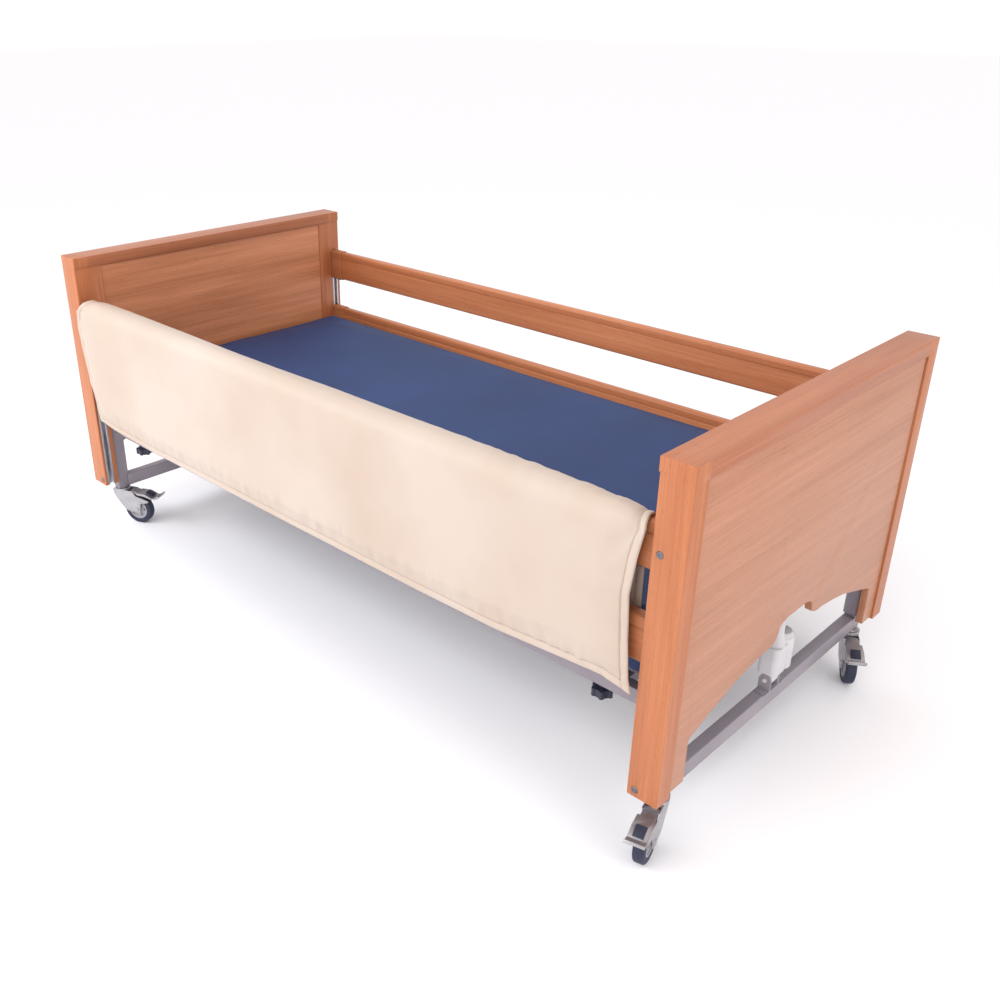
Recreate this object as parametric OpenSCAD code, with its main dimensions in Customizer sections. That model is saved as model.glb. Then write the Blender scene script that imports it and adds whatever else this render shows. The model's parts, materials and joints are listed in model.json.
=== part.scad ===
// Community profiling hospital bed: wooden end boards on telescoping lift columns,
// a four-section deck, drop-down wooden side rails and four braked castors.
// Origin: floor level under the middle of the bed. +X to the foot end, +Y to the far side, +Z up.

/* [Overall size] */
// Width over the end boards
bed_w = 1020; // [1000:5:1060]
// Length over the end boards
bed_l = 2184; // [2160:2:2240]
// Height of the boards' lower edge above the floor
board_z = 155; // [150:1:160]
// Height of an end board
board_h = 739; // [735:1:760]

/* [End boards] */
// Thickness of an end board
board_t = 71; // [71:1:76]
// Width of a post, seen from the end
post_w = 45; // [44:1:48]
// Height of the top rail between the posts
top_rail_h = 35; // [30:1:40]
// Thickness of the outer panel
panel_t = 18; // [16:1:18]

/* [Lift] */
// Distance of the lift columns from the middle
column_y = 443; // [442:1:443]
// Width of a sliding sleeve, along the bed's width
sleeve_w = 42; // [40:1:42]
// Depth of a sliding sleeve, along the bed's length
sleeve_d = 36; // [34:1:37]
// Height of the lower cross bar
bar_h = 40; // [36:1:44]

/* [Castors] */
// Wheel diameter
wheel_d = 100; // [96:1:104]
// Distance of the wheel's axle behind the swivel
trail = 57; // [56:1:60]

/* [Deck and mattress] */
// Height of the deck's top
deck_z = 385; // [380:1:388]
// Width of the deck
deck_w = 820; // [816:1:821]
// Thickness of the mattress
mattress_t = 150; // [120:5:155]
// Width of the mattress
mattress_w = 886; // [860:2:890]

/* [Side rails] */
// Height of a rail's section
rail_h = 97; // [90:1:100]
// Thickness of a rail
rail_t = 26; // [24:1:28]
// Lower edge of the upper rail
upper_rail_z = 665; // [655:1:670]
// Lower edge of the lower rail
lower_rail_z = 463; // [455:1:470]

/* [Hidden] */
$fn = 48;

// clearances: between parts that move past each other, and round running fits
gap = 0.4;
run = 0.05;

// end boards
outer_x = bed_l / 2;
inner_x = outer_x - board_t;
half_w = bed_w / 2;
post_in_y = half_w - post_w;
board_top = board_z + board_h;
panel_y = post_in_y - 3.5;
panel_x = outer_x - 4 - panel_t;
panel_top = board_top - top_rail_h - 2;
inner_panel_x = inner_x + 2.5;
inner_panel_t = 6;
inner_panel_z = deck_z + 17;
stile_in_y = 424;

// lift columns
column_x = inner_x + 27;
leg_w = sleeve_w - 6 - 2 * gap;
leg_d = sleeve_d - 6 - 2 * gap;
leg_top = 730;
bar_z = 125;
bar_t = 30;
sleeve_z = bar_z + bar_h + 6;
sleeve_top = board_top - 42;
cross_h = 36;

// lift actuators
lift_x = column_x + 3;
lift_tube_r = 16;
lift_rod_r = 9;
lift_tube_top = 770;
clevis_top = 205;
motor_top = 318;
pod_y = 32;
pod_r = 28;

// castors: stem position and the direction that each one trails in at rest
stem_r = 6;
stem_x = column_x + 4;
stem_y = column_y - 5;
wheel_r = wheel_d / 2;
wheel_t = 26;
hub_r = 34;
axle_r = 5;
fork_in = 16.5;
fork_t = 2.5;
pedal_pin = [38, 110];
pin_r = 3;
castor_names = ["foot_near", "foot_far", "head_near", "head_far"];
castor_ends = [1, 1, -1, -1];
castor_sides = [-1, 1, -1, 1];
castor_turns = [-75, -57, 25, 130];

// rail channels in the posts
channel_y = 490;
channel_w = 24;
channel_d = 15;
channel_wall = 2;
slot_w = 11.4;
channel_top = 764;

// side rails
rail_y = 488;
cap_l = 55;
cap_proud = 2;
cap_x = inner_x - 1.5;
rail_half_l = cap_x - cap_l;
groove_drop = 24;
tongue_w = 10;
tongue_t = 8;
catch_drop = 12;

// padded cover over the near rails
cover_top = 790;
cover_hem = 388;
cover_out_y = -538;
cover_in_y = -511;
cover_inner_hem = 545;

// chassis
chassis_y = 417;
chassis_z = 316;
chassis_h = 34;
chassis_w = 26;
knob_x = 890;
motor_x = 330;
cross_xs = [-925, -motor_x, motor_x, 925];

// deck sections, from head to foot
deck_end = 1000;
back_hinge_x = -185;
thigh_hinge_x = 75;
knee_hinge_x = 400;
hinge_z = 372;
deck_t = 25;
hinge_gap = 14;
tube_w = 25;
slat_pitch = 74;
hinge_r = 6;
lug_y = 411.5;
lug_t = 5.8;
side_y = deck_w / 2;
ear_t = 8;

// mattress
mattress_z = deck_z + 0.5;
mattress_top = mattress_z + mattress_t;
mattress_end = 1000;
back_half_fold = 36;
thigh_half_fold = 17;

// deck actuators: each pushes a slotted lever below its hinge
back_y = -110;
knee_y = 110;
lever_h = 118;
back_half_swing = 35;
knee_half_swing = 16;
deck_rod_r = 9;
deck_tube_r = 20;
push_pin_r = 6;
push_z = hinge_z - lever_h;
back_push_x = back_hinge_x + lever_h * tan(back_half_swing);
knee_push_x = thigh_hinge_x - lever_h * tan(knee_half_swing);

// colours
beech = "#c5794f";
panel_wood = "#d49a78";
pale_wood = "#b87552";
steel = "#8c828c";
silver = "#b9b5ba";
dark = "#2c3244";
grey = "#c3bfc2";
blue = "#465c8c";
cream = "#ead9c9";

// ---------- helpers ----------

// children() as built for the foot end (end = 1), mirrored for the head end (end = -1)
module at_end(end) {
    if (end > 0) children();
    else mirror([1, 0, 0]) children();
}

// children() once on each long side of the bed
module both_sides() {
    children();
    mirror([0, 1, 0]) children();
}

// box given by its lowest and highest corners
module block(low, high) {
    translate(low) cube(high - low);
}

// square with rounded corners, centred
module soft_square(w, h, r) {
    square([w - 2 * r, h], center = true);
    square([w, h - 2 * r], center = true);
    for (x = [-1, 1], y = [-1, 1])
        translate([x * (w / 2 - r), y * (h / 2 - r)]) circle(r);
}

// an outline in the X-Z plane, extruded along +Y from y = 0
module along_y(length) {
    translate([0, length, 0]) rotate([90, 0, 0]) linear_extrude(length) children();
}

// an outline in the Y-Z plane, extruded along +X from x = 0
module along_x(length) {
    rotate([90, 0, 90]) linear_extrude(length) children();
}

function arc(c, r, from, to, steps = 8) =
    [for (i = [0:steps]) let (a = from + (to - from) * i / steps) c + r * [cos(a), sin(a)]];

// ---------- lift bases: lower bar, legs and actuator ----------

module base_frame() {
    color(steel) {
        both_sides() difference() {
            translate([column_x, column_y, bar_z])
                linear_extrude(leg_top - bar_z) difference() {
                    soft_square(leg_d, leg_w, 3);
                    soft_square(leg_d - 5, leg_w - 5, 1);
                }
            translate([stem_x, stem_y, bar_z - 1]) cylinder(r = stem_r + run, h = 42);
        }
        both_sides() difference() {
            translate([column_x, column_y, bar_z + 0.5])
                linear_extrude(46) square([leg_d - 4, leg_w - 4], center = true);
            translate([stem_x, stem_y, bar_z - 1]) cylinder(r = stem_r + run, h = 42);
        }
        translate([column_x, 0, bar_z + bar_h / 2]) rotate([90, 0, 0])
            linear_extrude(2 * column_y - leg_w, center = true) difference() {
                soft_square(bar_t, bar_h, 3);
                soft_square(bar_t - 5, bar_h - 5, 1);
            }
        clevis();
    }
}

// U bracket on the bar that holds the foot of the lift actuator
module clevis() {
    pin_z = clevis_top - 12;
    difference() {
        union() {
            for (side = [-1, 1])
                translate([lift_x - 15, side * 19 - 2, bar_z + bar_h]) cube([30, 4, 30]);
            for (side = [-1, 1])
                translate([lift_x, side * 19 + 2, pin_z]) rotate([90, 0, 0]) cylinder(r = 15, h = 4);
            translate([lift_x - 15, -40, bar_z + bar_h]) cube([30, 80, 3]);
        }
        translate([lift_x, 30, pin_z]) rotate([90, 0, 0]) cylinder(r = 5, h = 60);
    }
}

// housing with gearbox, motor pod and the tube that guides the rod
module lift_motor() {
    pin_z = clevis_top - 12;
    color(grey) difference() {
        union() {
            translate([lift_x, 15, pin_z]) rotate([90, 0, 0]) cylinder(r = 14, h = 30);
            translate([lift_x, 0, pin_z]) cylinder(r = 13, h = 30);
            translate([lift_x, 0, clevis_top + 8])
                linear_extrude(72) soft_square(48, 54, 14);
            translate([lift_x, 0, clevis_top + 79]) cylinder(r1 = 24, r2 = lift_tube_r, h = 32, $fn = 64);
            translate([lift_x, pod_y, clevis_top + 12]) cylinder(r = pod_r, h = 80);
            translate([lift_x, pod_y, clevis_top + 5]) cylinder(r1 = pod_r - 7, r2 = pod_r, h = 7.5, $fn = 64);
            translate([lift_x, pod_y, clevis_top + 91]) cylinder(r1 = pod_r, r2 = pod_r - 8, h = 10, $fn = 64);
            translate([lift_x, 0, motor_top - 10]) cylinder(r = lift_tube_r, h = lift_tube_top - motor_top + 10);
        }
        translate([lift_x, 0, clevis_top + 30]) cylinder(r = lift_rod_r + run, h = 700);
        translate([lift_x, 30, pin_z]) rotate([90, 0, 0]) cylinder(r = 5, h = 60);
    }
    color(silver) translate([lift_x, 24, pin_z]) rotate([90, 0, 0]) cylinder(r = 5, h = 48);
}

module foot_base_frame() { base_frame(); }
module foot_lift_motor() { lift_motor(); }
module head_base_frame() { at_end(-1) base_frame(); }
module head_lift_motor() { at_end(-1) lift_motor(); }

// ---------- lift frames: sleeves that slide on the legs ----------

module lift_frame() {
    color(steel) {
        both_sides() translate([column_x, column_y, sleeve_z])
            linear_extrude(sleeve_top - sleeve_z) difference() {
                soft_square(sleeve_d, sleeve_w, 5);
                soft_square(leg_d + 2 * gap, leg_w + 2 * gap, 3);
            }
        difference() {
            translate([column_x - 15, -column_y + sleeve_w / 2, sleeve_top - cross_h])
                cube([30, 2 * column_y - sleeve_w, cross_h]);
            translate([column_x - 12.5, -column_y, sleeve_top - cross_h + 2.5])
                cube([25, 2 * column_y, cross_h - 5]);
            translate([lift_x, 0, sleeve_top - 50]) cylinder(r = lift_rod_r, h = 60);
        }
    }
}

module foot_lift_frame() { lift_frame(); }
module head_lift_frame() { at_end(-1) lift_frame(); }

// rods of both lift actuators, held in the cross tubes of the frames
module lift_rods() {
    color(silver) for (end = [-1, 1]) at_end(end) translate([lift_x, 0, motor_top + 20])
        cylinder(r = lift_rod_r, h = sleeve_top - motor_top - 20);
}

// ---------- end boards ----------

// posts, top rail with its raised inner cap, and the stiles that back the inner panel
module board_frame() {
    color(beech) {
        both_sides() difference() {
            block([inner_x, post_in_y, board_z], [outer_x, half_w, board_top]);
            block([inner_x - 1, channel_y - channel_w / 2, board_z - 1],
                [inner_x + channel_d, channel_y + channel_w / 2, channel_top]);
        }
        block([inner_x, -post_in_y, board_top - top_rail_h], [outer_x, post_in_y, board_top]);
        block([inner_x - 3, -half_w, board_top - 30], [inner_x, half_w, board_top]);
        both_sides() block([inner_x, stile_in_y, inner_panel_z],
            [inner_x + 8.5, post_in_y, board_top - top_rail_h]);
        both_sides() block([panel_x - 3.5, post_in_y - 8, board_z],
            [panel_x, post_in_y, board_top - top_rail_h]);
    }
}

// lower edge of the outer panel on the far side, from the leg strip to the middle notch
panel_edge = concat(
    [[panel_y, 8], [410, 8], [410, 104]],
    arc([398, 104], 12, 0, 66, 4),
    [[362, 130], [300, 150], [248, 166], [187, 177], [133, 184]],
    arc([112, 236], 52, 270, 232, 5),
    arc([34, 160.5], 72, 58, 90, 6));

module outer_panel() {
    half = [for (p = panel_edge) [p[0], board_z + p[1]]];
    other = [for (i = [len(half) - 1:-1:0]) [-half[i][0], half[i][1]]];
    color(panel_wood) translate([panel_x, 0, 0]) along_x(panel_t)
        polygon(concat([[panel_y, panel_top]], half, other, [[-panel_y, panel_top]]));
}

module inner_panel() {
    color(pale_wood) block([inner_panel_x, -stile_in_y + 0.5, inner_panel_z],
        [inner_panel_x + inner_panel_t, stile_in_y - 0.5, board_top - top_rail_h]);
}

module foot_board_frame() { board_frame(); }
module foot_outer_panel() { outer_panel(); }
module foot_inner_panel() { inner_panel(); }
module head_board_frame() { at_end(-1) board_frame(); }
module head_outer_panel() { at_end(-1) outer_panel(); }
module head_inner_panel() { at_end(-1) inner_panel(); }

// ---------- rail channels and their bolts ----------

module rail_channels() {
    color(silver) for (end = [-1, 1]) at_end(end) both_sides() difference() {
        block([inner_x + 0.2, channel_y - channel_w / 2 + 0.1, board_z],
            [inner_x + channel_d - 0.1, channel_y + channel_w / 2 - 0.1, channel_top - 0.2]);
        block([inner_x + channel_wall, channel_y - channel_w / 2 + channel_wall, board_z - 1],
            [inner_x + channel_d - channel_wall, channel_y + channel_w / 2 - channel_wall, channel_top]);
        block([inner_x - 1, channel_y - slot_w / 2, board_z - 1],
            [inner_x + channel_wall + 1, channel_y + slot_w / 2, channel_top]);
    }
}

module channel_bolts() {
    bolt_x = inner_x + 17;
    color(silver) for (end = [-1, 1]) at_end(end) both_sides()
        for (z = [board_z + 17, 707])
            translate([bolt_x, half_w, z]) rotate([-90, 0, 0]) difference() {
                cylinder(r1 = 8, r2 = 6.5, h = 2, $fn = 32);
                translate([0, 0, 1]) cylinder(r = 2.6, h = 2, $fn = 6);
            }
}

// ---------- chassis and its fittings ----------

module chassis() {
    reach = column_x - sleeve_d / 2;
    color(steel) {
        both_sides() block([-reach, chassis_y, chassis_z], [reach, chassis_y + chassis_w, chassis_z + chassis_h]);
        for (x = cross_xs)
            block([x - 12, -chassis_y, chassis_z + 2], [x + 12, chassis_y, chassis_z + 26]);
        both_sides() for (x = [back_hinge_x, thigh_hinge_x])
            hinge_lug(x);
        motor_mount(motor_x, back_y);
        motor_mount(-motor_x, knee_y);
    }
}

// lobed hand knobs below the side tubes that clamp the chassis to its end frames
module hand_knobs() {
    color(dark) both_sides() for (end = [-1, 1]) at_end(end)
        translate([knob_x, chassis_y + chassis_w / 2, chassis_z - 27]) {
            cylinder(r = 20, h = 18);
            for (a = [0:60:300])
                rotate(a) translate([19, 0, 0]) cylinder(r = 6, h = 18);
            cylinder(r = 8, h = 27);
        }
}

// upright lug on a side tube, just outside the deck, that carries a hinge pin
module hinge_lug(x) {
    difference() {
        union() {
            block([x - 14, lug_y, chassis_z + 6], [x + 14, lug_y + lug_t, hinge_z]);
            translate([x, lug_y + lug_t, hinge_z]) rotate([90, 0, 0]) cylinder(r = 12.5, h = lug_t);
        }
        translate([x, lug_y + lug_t + 1, hinge_z]) rotate([90, 0, 0]) cylinder(r = hinge_r, h = 20);
    }
}

// two cheeks below a crossmember that hold the back of a deck motor
module motor_mount(x, y) {
    for (side = [-1, 1])
        block([x - 12, y + side * 26 - 2, push_z - 14], [x + 12, y + side * 26 + 2, chassis_z + 2]);
}

module control_box() {
    color(dark) {
        translate([620, 0, chassis_z - 42]) linear_extrude(60) soft_square(230, 120, 14);
        translate([620, 0, chassis_z + 17]) linear_extrude(8) soft_square(200, 90, 8);
        block([505, -70, chassis_z - 14], [735, 70, chassis_z - 10]);
    }
}

// pins between the chassis lugs and the back and thigh sections
module hinge_pins() {
    color(silver) both_sides() for (x = [back_hinge_x, thigh_hinge_x])
        translate([x, lug_y + lug_t - 0.5, hinge_z]) rotate([90, 0, 0])
            cylinder(r = hinge_r, h = lug_y + lug_t - 0.5 - (side_y - ear_t - 2));
}

// ---------- deck sections ----------

// frame tubes and cross slats of one section, between x0 and x1
module deck_section(x0, x1) {
    z0 = deck_z - deck_t;
    count = floor((x1 - x0 - 2 * tube_w) / slat_pitch);
    step = (x1 - x0 - tube_w) / (count + 1);
    both_sides() block([x0, side_y - tube_w, z0], [x1, side_y, deck_z]);
    for (x = [x0, x1 - tube_w])
        block([x, -side_y + tube_w, z0 + 2], [x + tube_w, side_y - tube_w, deck_z]);
    for (i = [1:count])
        block([x0 + i * step, -side_y + tube_w, deck_z - 10], [x0 + i * step + tube_w, side_y - tube_w, deck_z]);
}

// ears with a bore round a hinge, standing out of the ends of the side tubes; y is their outer face
module ears(hinge_x, reach, y, bore) {
    both_sides() difference() {
        union() {
            block([min(hinge_x, hinge_x + reach), y - ear_t, hinge_z - 10],
                [max(hinge_x, hinge_x + reach), y, hinge_z + 10]);
            translate([hinge_x, y, hinge_z]) rotate([90, 0, 0]) cylinder(r = 12.5, h = ear_t);
        }
        translate([hinge_x, y + 1, hinge_z]) rotate([90, 0, 0]) cylinder(r = bore, h = 40);
    }
}

// slotted lever below a hinge, leaning by lean degrees at rest; toward (+1 or -1) is the side of its section
module push_lever(hinge_x, y, lean, toward) {
    slot_half = push_pin_r + 4.6;
    difference() {
        union() {
            translate([hinge_x, y, hinge_z]) rotate([0, -lean, 0])
                block([-17, -5, -lever_h * 1.22 - 24], [17, 5, -32]);
            translate([hinge_x, y - 4, 0]) along_y(8) polygon([for (p = [[32, 363], [32, 346], [8, 334],
                [-6, 330], [-30, 352], [0, 358]]) [toward * p[0], p[1]]]);
        }
        translate([hinge_x, y, hinge_z]) rotate([0, -lean, 0])
            block([-slot_half, -6, -lever_h * 1.22 - 12], [slot_half, 6, -lever_h + 12]);
    }
}

module back_deck() {
    color(steel) {
        deck_section(-deck_end, back_hinge_x - hinge_gap);
        ears(back_hinge_x, -40, side_y, hinge_r + run);
        push_lever(back_hinge_x, back_y, back_half_swing, -1);
    }
}

module seat_deck() {
    color(steel) deck_section(back_hinge_x + hinge_gap + 2, thigh_hinge_x - hinge_gap - 2);
}

module thigh_deck() {
    color(steel) {
        deck_section(thigh_hinge_x + hinge_gap, knee_hinge_x - hinge_gap);
        ears(thigh_hinge_x, 40, side_y, hinge_r + run);
        ears(knee_hinge_x, -40, side_y, hinge_r);
        push_lever(thigh_hinge_x, knee_y, -knee_half_swing, 1);
    }
}

// pins fixed in the thigh section that the calf section turns on
module knee_pins() {
    color(silver) both_sides() translate([knee_hinge_x, side_y, hinge_z]) rotate([90, 0, 0])
        cylinder(r = hinge_r, h = 2 * ear_t + 2);
}

module calf_deck() {
    color(steel) {
        deck_section(knee_hinge_x + hinge_gap, deck_end);
        ears(knee_hinge_x, 40, side_y - ear_t - 0.5, hinge_r + run);
    }
}

// ---------- deck actuators, drawn for a push along -X from x = 0 ----------

// housing whose guide tube ends at front, with the motor and gearbox hung at reach
module deck_motor(front, reach) {
    color(grey) difference() {
        union() {
            translate([front, 0, 0]) rotate([0, 90, 0]) cylinder(r = deck_tube_r, h = reach - 70 - front);
            block([reach - 80, -23, -22], [reach + 10, 23, 38]);
            translate([reach - 40, 0, -24]) rotate([0, 90, 0]) cylinder(r = 22, h = 90, center = true);
        }
        translate([reach - 80, 0, 0]) rotate([0, -90, 0]) cylinder(r = deck_rod_r + run, h = reach);
    }
    color(silver) translate([reach, 0, 0]) rotate([90, 0, 0]) cylinder(r = 5, h = 47.6, center = true);
}

// rod with a fork end and the pin that works in the lever's slot
module deck_rod(pin_x, reach) {
    color(silver) {
        translate([pin_x + 42, 0, 0]) rotate([0, 90, 0]) cylinder(r = deck_rod_r, h = reach - 84 - pin_x - 42);
        for (side = [-1, 1])
            block([pin_x - 12, side * 10 - 3, -12], [pin_x + 40, side * 10 + 3, 12]);
        block([pin_x + 36, -13, -12], [pin_x + 44, 13, 12]);
        translate([pin_x, 0, 0]) rotate([90, 0, 0]) cylinder(r = push_pin_r, h = 25, center = true);
    }
}

module place_back() {
    translate([0, back_y, push_z]) children();
}

module place_knee() {
    translate([0, knee_y, push_z]) mirror([1, 0, 0]) children();
}

module back_motor() { place_back() deck_motor(back_push_x + 62, motor_x); }
module back_rod() { place_back() deck_rod(back_push_x, motor_x); }
module knee_motor() { place_knee() deck_motor(62 - knee_push_x, motor_x); }
module knee_rod() { place_knee() deck_rod(-knee_push_x, motor_x); }

// ---------- mattress: one block per deck section and the wedges that fold ----------

// block whose ends lean by a0 and a1 degrees off the upright, from the floor line up
module mattress_block(x0, a0, x1, a1) {
    color(blue) translate([0, -mattress_w / 2, mattress_z]) along_y(mattress_w)
        polygon([[x0, 0], [x1, 0], [x1 + mattress_t * tan(a1), mattress_t], [x0 + mattress_t * tan(a0), mattress_t]]);
}

module mattress_back() { mattress_block(-mattress_end, 0, back_hinge_x - 12, -back_half_fold); }
module mattress_seat() { mattress_block(back_hinge_x + 12, back_half_fold, thigh_hinge_x - 5, -thigh_half_fold); }
module mattress_folds() {
    mattress_block(back_hinge_x - 11, -back_half_fold, back_hinge_x + 11, back_half_fold);
    mattress_block(thigh_hinge_x - 4, -thigh_half_fold, thigh_hinge_x + 4, thigh_half_fold);
}
module mattress_thigh() { mattress_block(thigh_hinge_x + 5, thigh_half_fold, knee_hinge_x - 1, 0); }
module mattress_calf() { mattress_block(knee_hinge_x + 1, 0, mattress_end, 0); }

// ---------- side rails ----------

// section of a rail, centred on its thickness, with a groove below the top edge on both faces
module rail_section(grow) {
    difference() {
        translate([0, rail_h / 2]) soft_square(rail_t + 2 * grow, rail_h + 2 * grow, 8);
        for (side = [-1, 1])
            translate([side * (rail_t / 2 + grow), rail_h - groove_drop]) circle(2.2, $fn = 24);
    }
}

module rail(side, z) {
    color(beech) translate([-rail_half_l + 0.2, side * rail_y, z])
        along_x(2 * rail_half_l - 0.4) rail_section(0);
}

// plastic caps on both ends of the two rails of a side, each with a tongue in the channel
module rail_caps(side) {
    color(pale_wood) for (end = [-1, 1]) at_end(end) for (z = [lower_rail_z, upper_rail_z]) {
        difference() {
            translate([rail_half_l, side * rail_y, z]) along_x(cap_l) rail_section(cap_proud);
            if (z == upper_rail_z) translate([cap_x - 27, side * rail_y, z - 5])
                linear_extrude(catch_drop + 6) square([16.8, 12.8], center = true);
        }
        translate([0, side * channel_y, z + rail_h / 2]) {
            block([cap_x, -tongue_w / 2, -36], [inner_x + 9, tongue_w / 2, 36]);
            block([inner_x + 4, -tongue_t, -36], [inner_x + 9, tongue_t, 36]);
        }
    }
}

// sprung release button in the underside of the upper rail's cap
module rail_catch(end, side) {
    color(dark) at_end(end) translate([cap_x - 27, side * rail_y, upper_rail_z]) {
        translate([0, 0, -6]) linear_extrude(12) square([16, 12], center = true);
    }
}

module near_upper_rail() { rail(-1, upper_rail_z); }
module near_lower_rail() { rail(-1, lower_rail_z); }
module near_rail_caps() { rail_caps(-1); }
module far_upper_rail() { rail(1, upper_rail_z); }
module far_lower_rail() { rail(1, lower_rail_z); }
module far_rail_caps() { rail_caps(1); }
module near_head_catch() { rail_catch(-1, -1); }
module near_foot_catch() { rail_catch(1, -1); }
module far_head_catch() { rail_catch(-1, 1); }
module far_foot_catch() { rail_catch(1, 1); }

// padded cover: outer pad, roll over the upper rail and a short inner flap
module padded_cover() {
    top_in = 1012;
    color(cream) {
        translate([0, cover_out_y, 0]) along_y(cover_in_y - cover_out_y)
            polygon([[-1018, 700], [-1011, 742], [-994, 766], [-966, 783], [-930, cover_top], [1004, cover_top],
                [1022, 776], [1020, 731], [1013, 657], [1008, 580], [1008, 516], [1016, cover_hem + 8],
                [988, cover_hem + 14], [935, cover_hem + 24], [800, cover_hem + 14], [640, cover_hem + 2],
                [400, cover_hem - 2], [-700, cover_hem], [-925, cover_hem + 6], [-964, cover_hem + 20],
                [-976, 452], [-993, 521], [-1014, 620]]);
        block([-top_in, cover_in_y, upper_rail_z + rail_h + 3], [top_in, -474, cover_top]);
        block([-top_in + 30, -471.5, cover_inner_hem], [top_in - 30, -453, cover_top - 12]);
        block([-top_in + 30, -474, upper_rail_z + rail_h + 3], [top_in - 30, -471.5, cover_top - 12]);
    }
}

// ---------- castors, drawn with the stem on the Z axis and the wheel trailing to +X ----------

// side plate of the fork
module fork_plate() {
    linear_extrude(fork_t) polygon(concat(
        [[-26, 116], [46, 116], [58, 100], [105, 88], [105, 83], [trail + 18, 74]],
        arc([trail, wheel_r], 14, 20, -145, 8),
        [[34, 40], [14, 47], [7, 57], [-2, 68], [-16, 86], [-25, 104]]));
}

module castor_fork() {
    color(silver) {
        translate([0, 0, 112]) cylinder(r = stem_r, h = 50);
        translate([0, 0, 111]) cylinder(r = 24, h = 10);
        translate([0, 0, 120.5]) cylinder(r = 16, h = 4);
        block([-26, -fork_in - 1, 111], [26, fork_in + 1, 116]);
        for (side = [-1, 1])
            translate([0, side > 0 ? fork_in + fork_t : -fork_in, 0]) rotate([90, 0, 0]) fork_plate();
        translate([0, fork_in + 0.5, 0]) rotate([90, 0, 0]) linear_extrude(2 * fork_in + 1)
            polygon([[-26, 116], [-25, 104], [-16, 86], [-4, 68], [1, 60], [4, 62.5], [-1, 71], [-12, 88],
                [-21, 105], [-21, 116]]);
        translate([trail, 0, wheel_r]) rotate([90, 0, 0]) cylinder(r = axle_r, h = 2 * fork_in + 2, center = true);
        for (side = [-1, 1])
            translate([trail, side * (fork_in + fork_t + 1), wheel_r]) rotate([90, 0, 0])
                cylinder(r = 8, h = 3, center = true);
        translate([pedal_pin[0], 0, pedal_pin[1]]) rotate([90, 0, 0])
            cylinder(r = pin_r, h = 2 * fork_in + 2, center = true);
    }
}

// brake pedal: arm on the pin, sheet over the wheel with a turned-up tip, and its release tab
module castor_pedal() {
    near_half = fork_in - 1;
    far_half = 21.5;
    color(silver) difference() {
        union() {
            translate([0, near_half, 0]) rotate([90, 0, 0]) linear_extrude(2 * near_half)
                polygon([[32, 114], [31, 108], [38, 104.5], [46, 106], [64, 107.5], [64, 113], [46, 116]]);
            translate([0, far_half, 0]) rotate([90, 0, 0]) linear_extrude(2 * far_half)
                polygon([[63, 113], [63, 107.5], [96, 105], [122, 98], [140, 101], [149, 113], [145, 115],
                    [137, 106], [122, 103], [98, 113]]);
        }
        translate([pedal_pin[0], 30, pedal_pin[1]]) rotate([90, 0, 0]) cylinder(r = pin_r + run, h = 60);
    }
    color(dark) translate([108, 0, 110]) rotate([0, 24, 0]) cube([26, 22, 5], center = true);
}

module castor_hub() {
    color(grey) translate([trail, 0, wheel_r]) rotate([90, 0, 0]) difference() {
        union() {
            cylinder(r = hub_r, h = wheel_t - 10, center = true);
            cylinder(r = 13, h = wheel_t + 4, center = true);
            difference() {
                cylinder(r = hub_r, h = wheel_t - 2, center = true);
                cylinder(r = hub_r - 5, h = wheel_t, center = true);
            }
        }
        cylinder(r = axle_r + run, h = 60, center = true);
        for (a = [0:60:300]) rotate(a) translate([22, 0]) cylinder(r = 3.5, h = 60, center = true);
    }
}

module castor_tyre() {
    lip = 6;
    color(dark) translate([trail, 0, wheel_r]) rotate([90, 0, 0]) rotate_extrude($fn = 96)
        polygon(concat([[hub_r, -wheel_t / 2], [hub_r, wheel_t / 2]],
            arc([wheel_r - lip, wheel_t / 2 - lip], lip, 90, 0, 5),
            arc([wheel_r - lip, -wheel_t / 2 + lip], lip, 0, -90, 5)));
}

// children() placed at castor i
module at_castor(i) {
    translate([castor_ends[i] * stem_x, castor_sides[i] * stem_y, 0]) rotate(castor_turns[i]) children();
}

// ---------- output ----------

foot_base_frame();
foot_lift_motor();
head_base_frame();
head_lift_motor();
foot_lift_frame();
head_lift_frame();
lift_rods();
foot_board_frame();
foot_outer_panel();
foot_inner_panel();
head_board_frame();
head_outer_panel();
head_inner_panel();
rail_channels();
channel_bolts();
chassis();
hand_knobs();
control_box();
hinge_pins();
seat_deck();
back_deck();
thigh_deck();
knee_pins();
calf_deck();
back_motor();
back_rod();
knee_motor();
knee_rod();
mattress_back();
mattress_seat();
mattress_folds();
mattress_thigh();
mattress_calf();
near_upper_rail();
near_lower_rail();
near_rail_caps();
padded_cover();
far_upper_rail();
far_lower_rail();
far_rail_caps();
near_head_catch();
near_foot_catch();
far_head_catch();
far_foot_catch();
for (i = [0:3]) {
    at_castor(i) castor_fork();
    at_castor(i) castor_pedal();
    at_castor(i) castor_hub();
    at_castor(i) castor_tyre();
}
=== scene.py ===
import json
import math

import bmesh
import bpy
import numpy as np
from mathutils import Matrix, Vector, noise


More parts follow.
